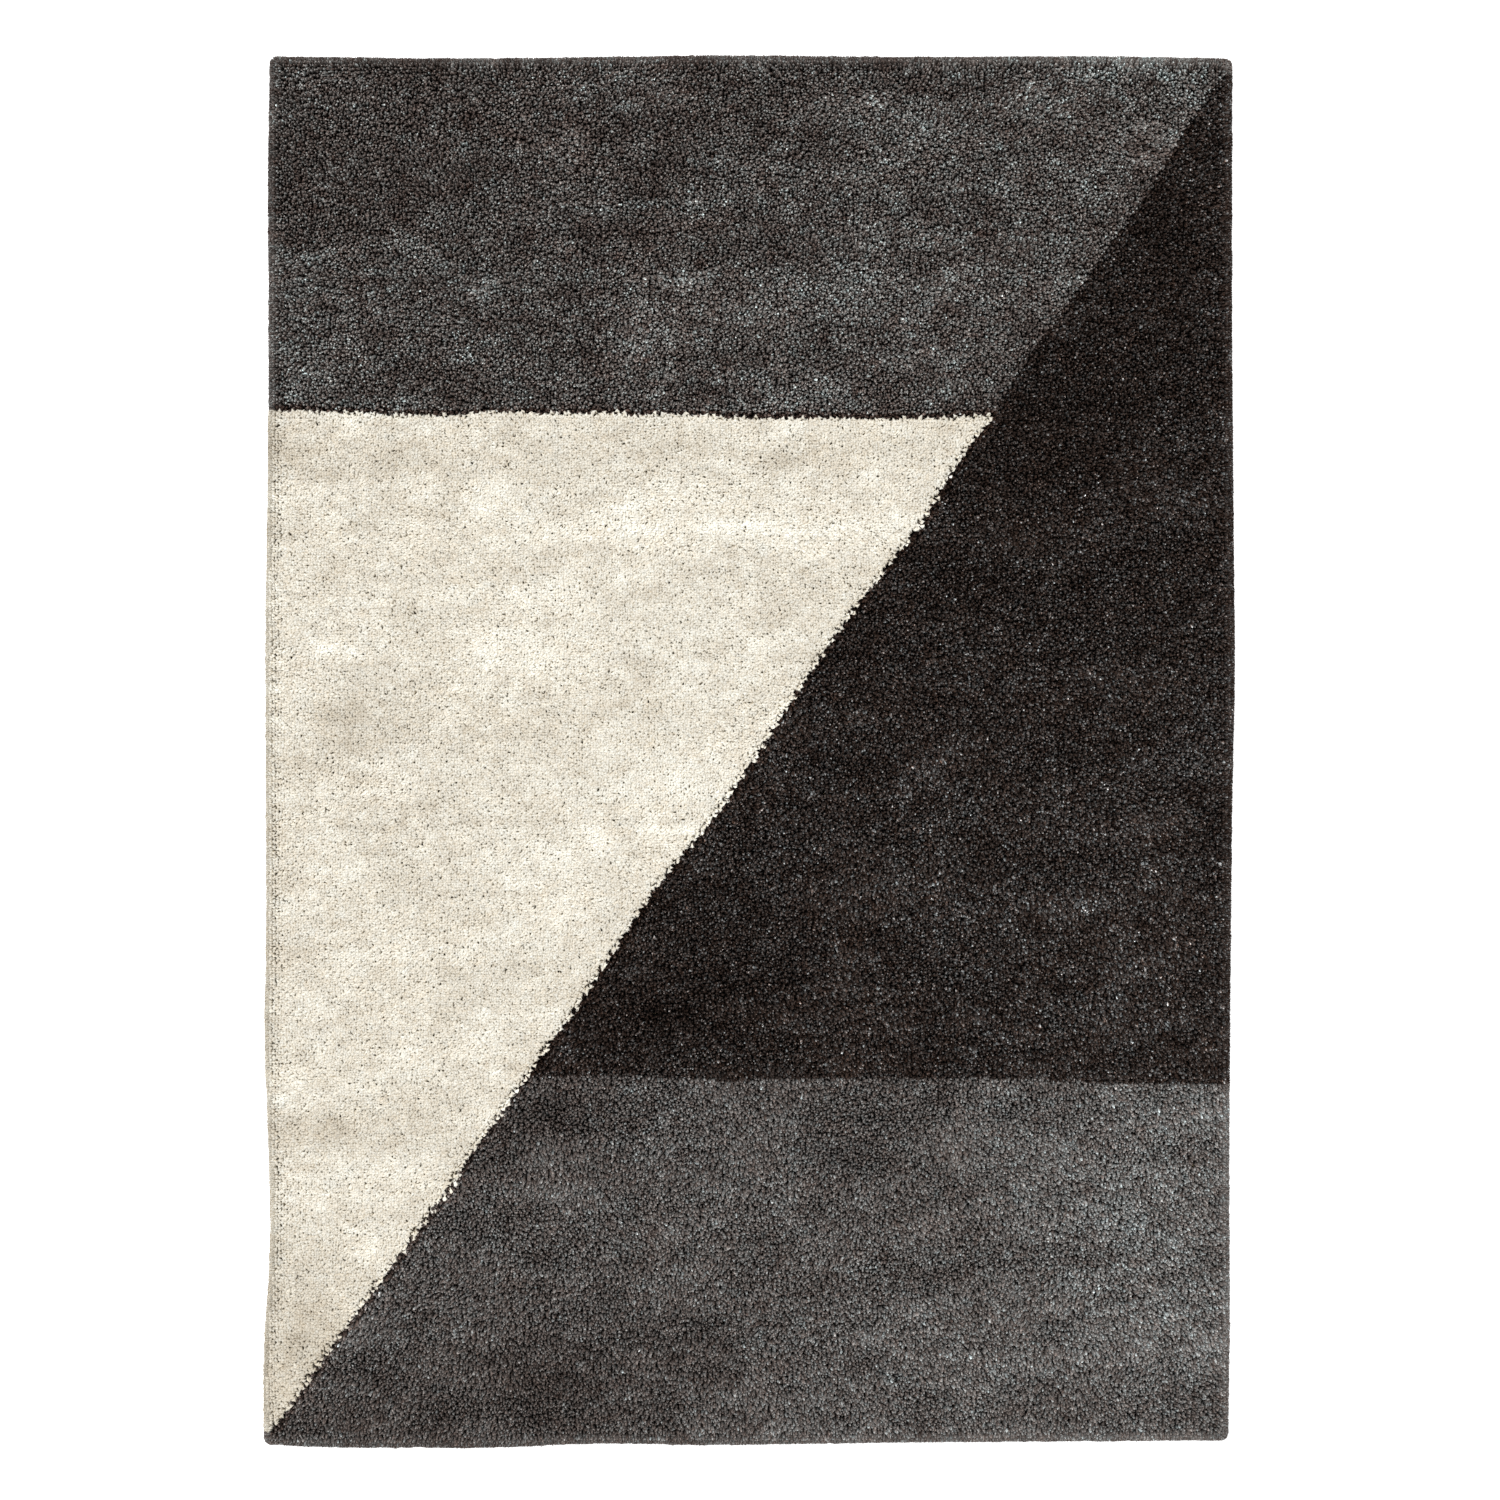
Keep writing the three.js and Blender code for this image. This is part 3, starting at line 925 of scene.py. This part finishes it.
def ranged(material, value, low, high, out_low, out_high):
    """A value taken from one range to another, and kept inside it."""
    node = material.node_tree.nodes.new("ShaderNodeMapRange")
    node.inputs["From Min"].default_value = low
    node.inputs["From Max"].default_value = high
    node.inputs["To Min"].default_value = out_low
    node.inputs["To Max"].default_value = out_high
    material.node_tree.links.new(value, node.inputs["Value"])
    return node.outputs[0]


def noise_range(material, noise, out_low, out_high):
    """Noise, which rarely leaves the middle of its own range, taken to another range."""
    return ranged(material, noise, 0.3, 0.7, out_low, out_high)


def attribute(material, name):
    """The value that the points of the mesh have under this name."""
    node = material.node_tree.nodes.new("ShaderNodeAttribute")
    node.attribute_name = name
    return node.outputs["Fac"]


def grain(material, size, stretch, detail):
    """Noise in the object's own space, with features of about this size, stretched along each axis."""
    nodes, links = material.node_tree.nodes, material.node_tree.links
    place = nodes.new("ShaderNodeTexCoord")
    mapping = nodes.new("ShaderNodeMapping")
    mapping.inputs["Scale"].default_value = [1 / (size * s) for s in stretch]
    links.new(place.outputs["Object"], mapping.inputs["Vector"])
    noise = nodes.new("ShaderNodeTexNoise")
    noise.inputs["Scale"].default_value = 1
    noise.inputs["Detail"].default_value = detail
    links.new(mapping.outputs["Vector"], noise.inputs["Vector"])
    return noise.outputs["Fac"]


def mixed(material, first, second, factor):
    """A colour between two, or past either of them where the factor leaves the range from 0 to 1."""
    node = material.node_tree.nodes.new("ShaderNodeMix")
    node.data_type = "RGBA"
    node.clamp_factor = False
    node.inputs["A"].default_value = (*first, 1)
    node.inputs["B"].default_value = (*second, 1)
    material.node_tree.links.new(factor, node.inputs["Factor"])
    return node.outputs["Result"]


def finish_surface(material, colour, strength, height, roughness, bump):
    """Colour times strength, with a bump and a roughness that follow the grain."""
    nodes, links = material.node_tree.nodes, material.node_tree.links
    shader = nodes["Principled BSDF"]
    scaled = nodes.new("ShaderNodeVectorMath")
    scaled.operation = "SCALE"
    links.new(colour, scaled.inputs[0])
    links.new(strength, scaled.inputs["Scale"])
    links.new(scaled.outputs[0], shader.inputs["Base Color"])
    links.new(noise_range(material, height, roughness - 0.08, roughness + 0.06), shader.inputs["Roughness"])
    relief = nodes.new("ShaderNodeBump")
    relief.inputs["Distance"].default_value = bump
    links.new(height, relief.inputs["Height"])
    links.new(relief.outputs["Normal"], shader.inputs["Normal"])
    shader.inputs["Specular IOR Level"].default_value = 0.1


def yarn_material(name, warm, cool, painted_shade_from, painted_root_shade, painted_tip_shade, heather):
    """Cut yarn ends: each point has its own tone and its own place between two dyes, with flecks and strands.

    The painted shade changes from that of the root to that of the tip, between the height where it starts and
    the tip. The dark yarns are painted darker at the root, as painted shade between the tufts; the cream is
    painted lighter below its tips, as painted light against the shade between its tufts."""
    material = new_material(name)
    colour = mixed(material, warm, cool, attribute(material, "hue"))
    # Painted shade along the yarn, by the height of each point: darker roots on the dark yarns, lighter sides
    # on the cream.
    painted_shade = ranged(material, attribute(material, "height"), painted_shade_from, 1, painted_root_shade, painted_tip_shade)
    fibre = grain(material, 0.7 * MM, (1, 1, 6), 2)
    flecks = grain(material, 1.8 * MM, (1, 1, 2), 1)
    strength = multiplied(material, painted_shade, attribute(material, "tone"))
    for noise, amount in ((fibre, 0.4 * heather), (flecks, heather)):
        strength = multiplied(material, strength, noise_range(material, noise, 1 - amount, 1 + amount))
    finish_surface(material, colour, strength, fibre, 0.9, 0.12 * MM)
    return material


def textile_material(name, dark, light, size, stretch, darkest_painted_shade_and_show_through, roughness, bump):
    """Cloth, yarn or latex: mottled with a stretched grain, and darker where its value for painted shade and
    show-through
    is high: painted shade in the valleys of the serging and between the strands of the cord, and the backs of
    the tufts showing through the latex.
    """
    material = new_material(name)
    mottle = grain(material, size, stretch, 5)
    colour = mixed(material, dark, light, noise_range(material, mottle, 0, 1))
    # Darker by the point's value: painted shade on the serging and the cord, the tufts' backs showing through
    # on the latex.
    strength = ranged(material, attribute(material, "painted_shade_and_show_through"), 0, 1, 1, darkest_painted_shade_and_show_through)
    finish_surface(material, colour, strength, mottle, roughness, bump)
    return material


# The values that yarn_material takes for each field. The fourth to sixth give its painted shade along the
# yarn:
# darker roots for the dark yarns, as painted shade between the tufts, and lighter sides for the cream, as
# painted light against the shade in its gaps.
YARNS = {
    "pile_top_grey": ("grey_yarn", (0.178, 0.140, 0.124), (0.149, 0.155, 0.150), 0, 0.35, 1.0, 0.6),
    "pile_cream": ("cream_yarn", (0.798, 0.739, 0.627), (0.778, 0.753, 0.677), 0.75, 1.0, 0.62, 0.06),
    "pile_charcoal": ("charcoal_yarn", (0.0468, 0.0297, 0.0228), (0.0351, 0.0316, 0.0298), 0, 0.2, 1.0, 0.8),
    "pile_lower_grey": ("light_grey_yarn", (0.174, 0.144, 0.130), (0.147, 0.151, 0.148), 0, 0.35, 1.0, 0.5),
}

# The values that textile_material takes for what is under the pile
ALIKE = (1, 1, 1)
JUTE = ("jute_ground", (0.28, 0.20, 0.11), (0.48, 0.38, 0.24), 3 * MM, (5, 1, 1), 0.6, 0.85, 0.3 * MM)
LATEX = ("latex_size", (0.50, 0.46, 0.38), (0.66, 0.62, 0.54), 4 * MM, (3, 1, 1), 0.6, 0.62, 0.2 * MM)
OVERLOCK = ("serging_yarn", (0.05, 0.045, 0.043), (0.115, 0.105, 0.1), MM, ALIKE, 0.3, 0.8, 0.1 * MM)
COTTON = ("cotton_cord", (0.52, 0.47, 0.36), (0.70, 0.65, 0.54), MM, ALIKE, 0.5, 0.85, 0.1 * MM)


# Camera, light and floor


def add_camera():
    """Straight above the rug, where a view this wide at the middle of the pile's height fills the picture."""
    view_width = 2.4840
    plane = 14 * MM
    data = bpy.data.cameras.new("camera")
    data.lens = 85
    data.sensor_width = 36
    camera = bpy.data.objects.new("camera", data)
    camera.location = (1.3 * MM, 2.9 * MM, plane + view_width * data.lens / data.sensor_width)
    bpy.context.scene.collection.objects.link(camera)
    bpy.context.scene.camera = camera


def add_light():
    """A white surrounding, and one broad soft light that is tilted a little from straight above."""
    world = bpy.data.worlds.new("studio")
    world.use_nodes = True
    background = world.node_tree.nodes["Background"]
    background.inputs["Color"].default_value = (1, 1, 1, 1)
    background.inputs["Strength"].default_value = 0.8
    bpy.context.scene.world = world
    data = bpy.data.lights.new("softbox", "SUN")
    data.energy = 4.2
    data.angle = math.radians(30)
    light = bpy.data.objects.new("softbox", data)
    light.rotation_euler = (math.radians(-10), math.radians(-9), 0)
    bpy.context.scene.collection.objects.link(light)


def add_floor():
    """A plain pale floor, a hair below the rug."""
    reach, level = 60.0, -0.5 * MM
    points = [(-reach, -reach, level), (reach, -reach, level), (reach, reach, level), (-reach, reach, level)]
    floor = mesh_object("floor", points, [np.array([[0, 1, 2, 3]])], smooth=False)
    material = new_material("pale_floor")
    shader = material.node_tree.nodes["Principled BSDF"]
    shader.inputs["Base Color"].default_value = (0.9, 0.9, 0.9, 1)
    shader.inputs["Roughness"].default_value = 0.9
    floor.data.materials.append(material)


add_camera()
add_light()
add_floor()
bpy.context.scene.view_settings.view_transform = "Standard"
build_pile()
build_cloth()
build_latex()
build_edges()
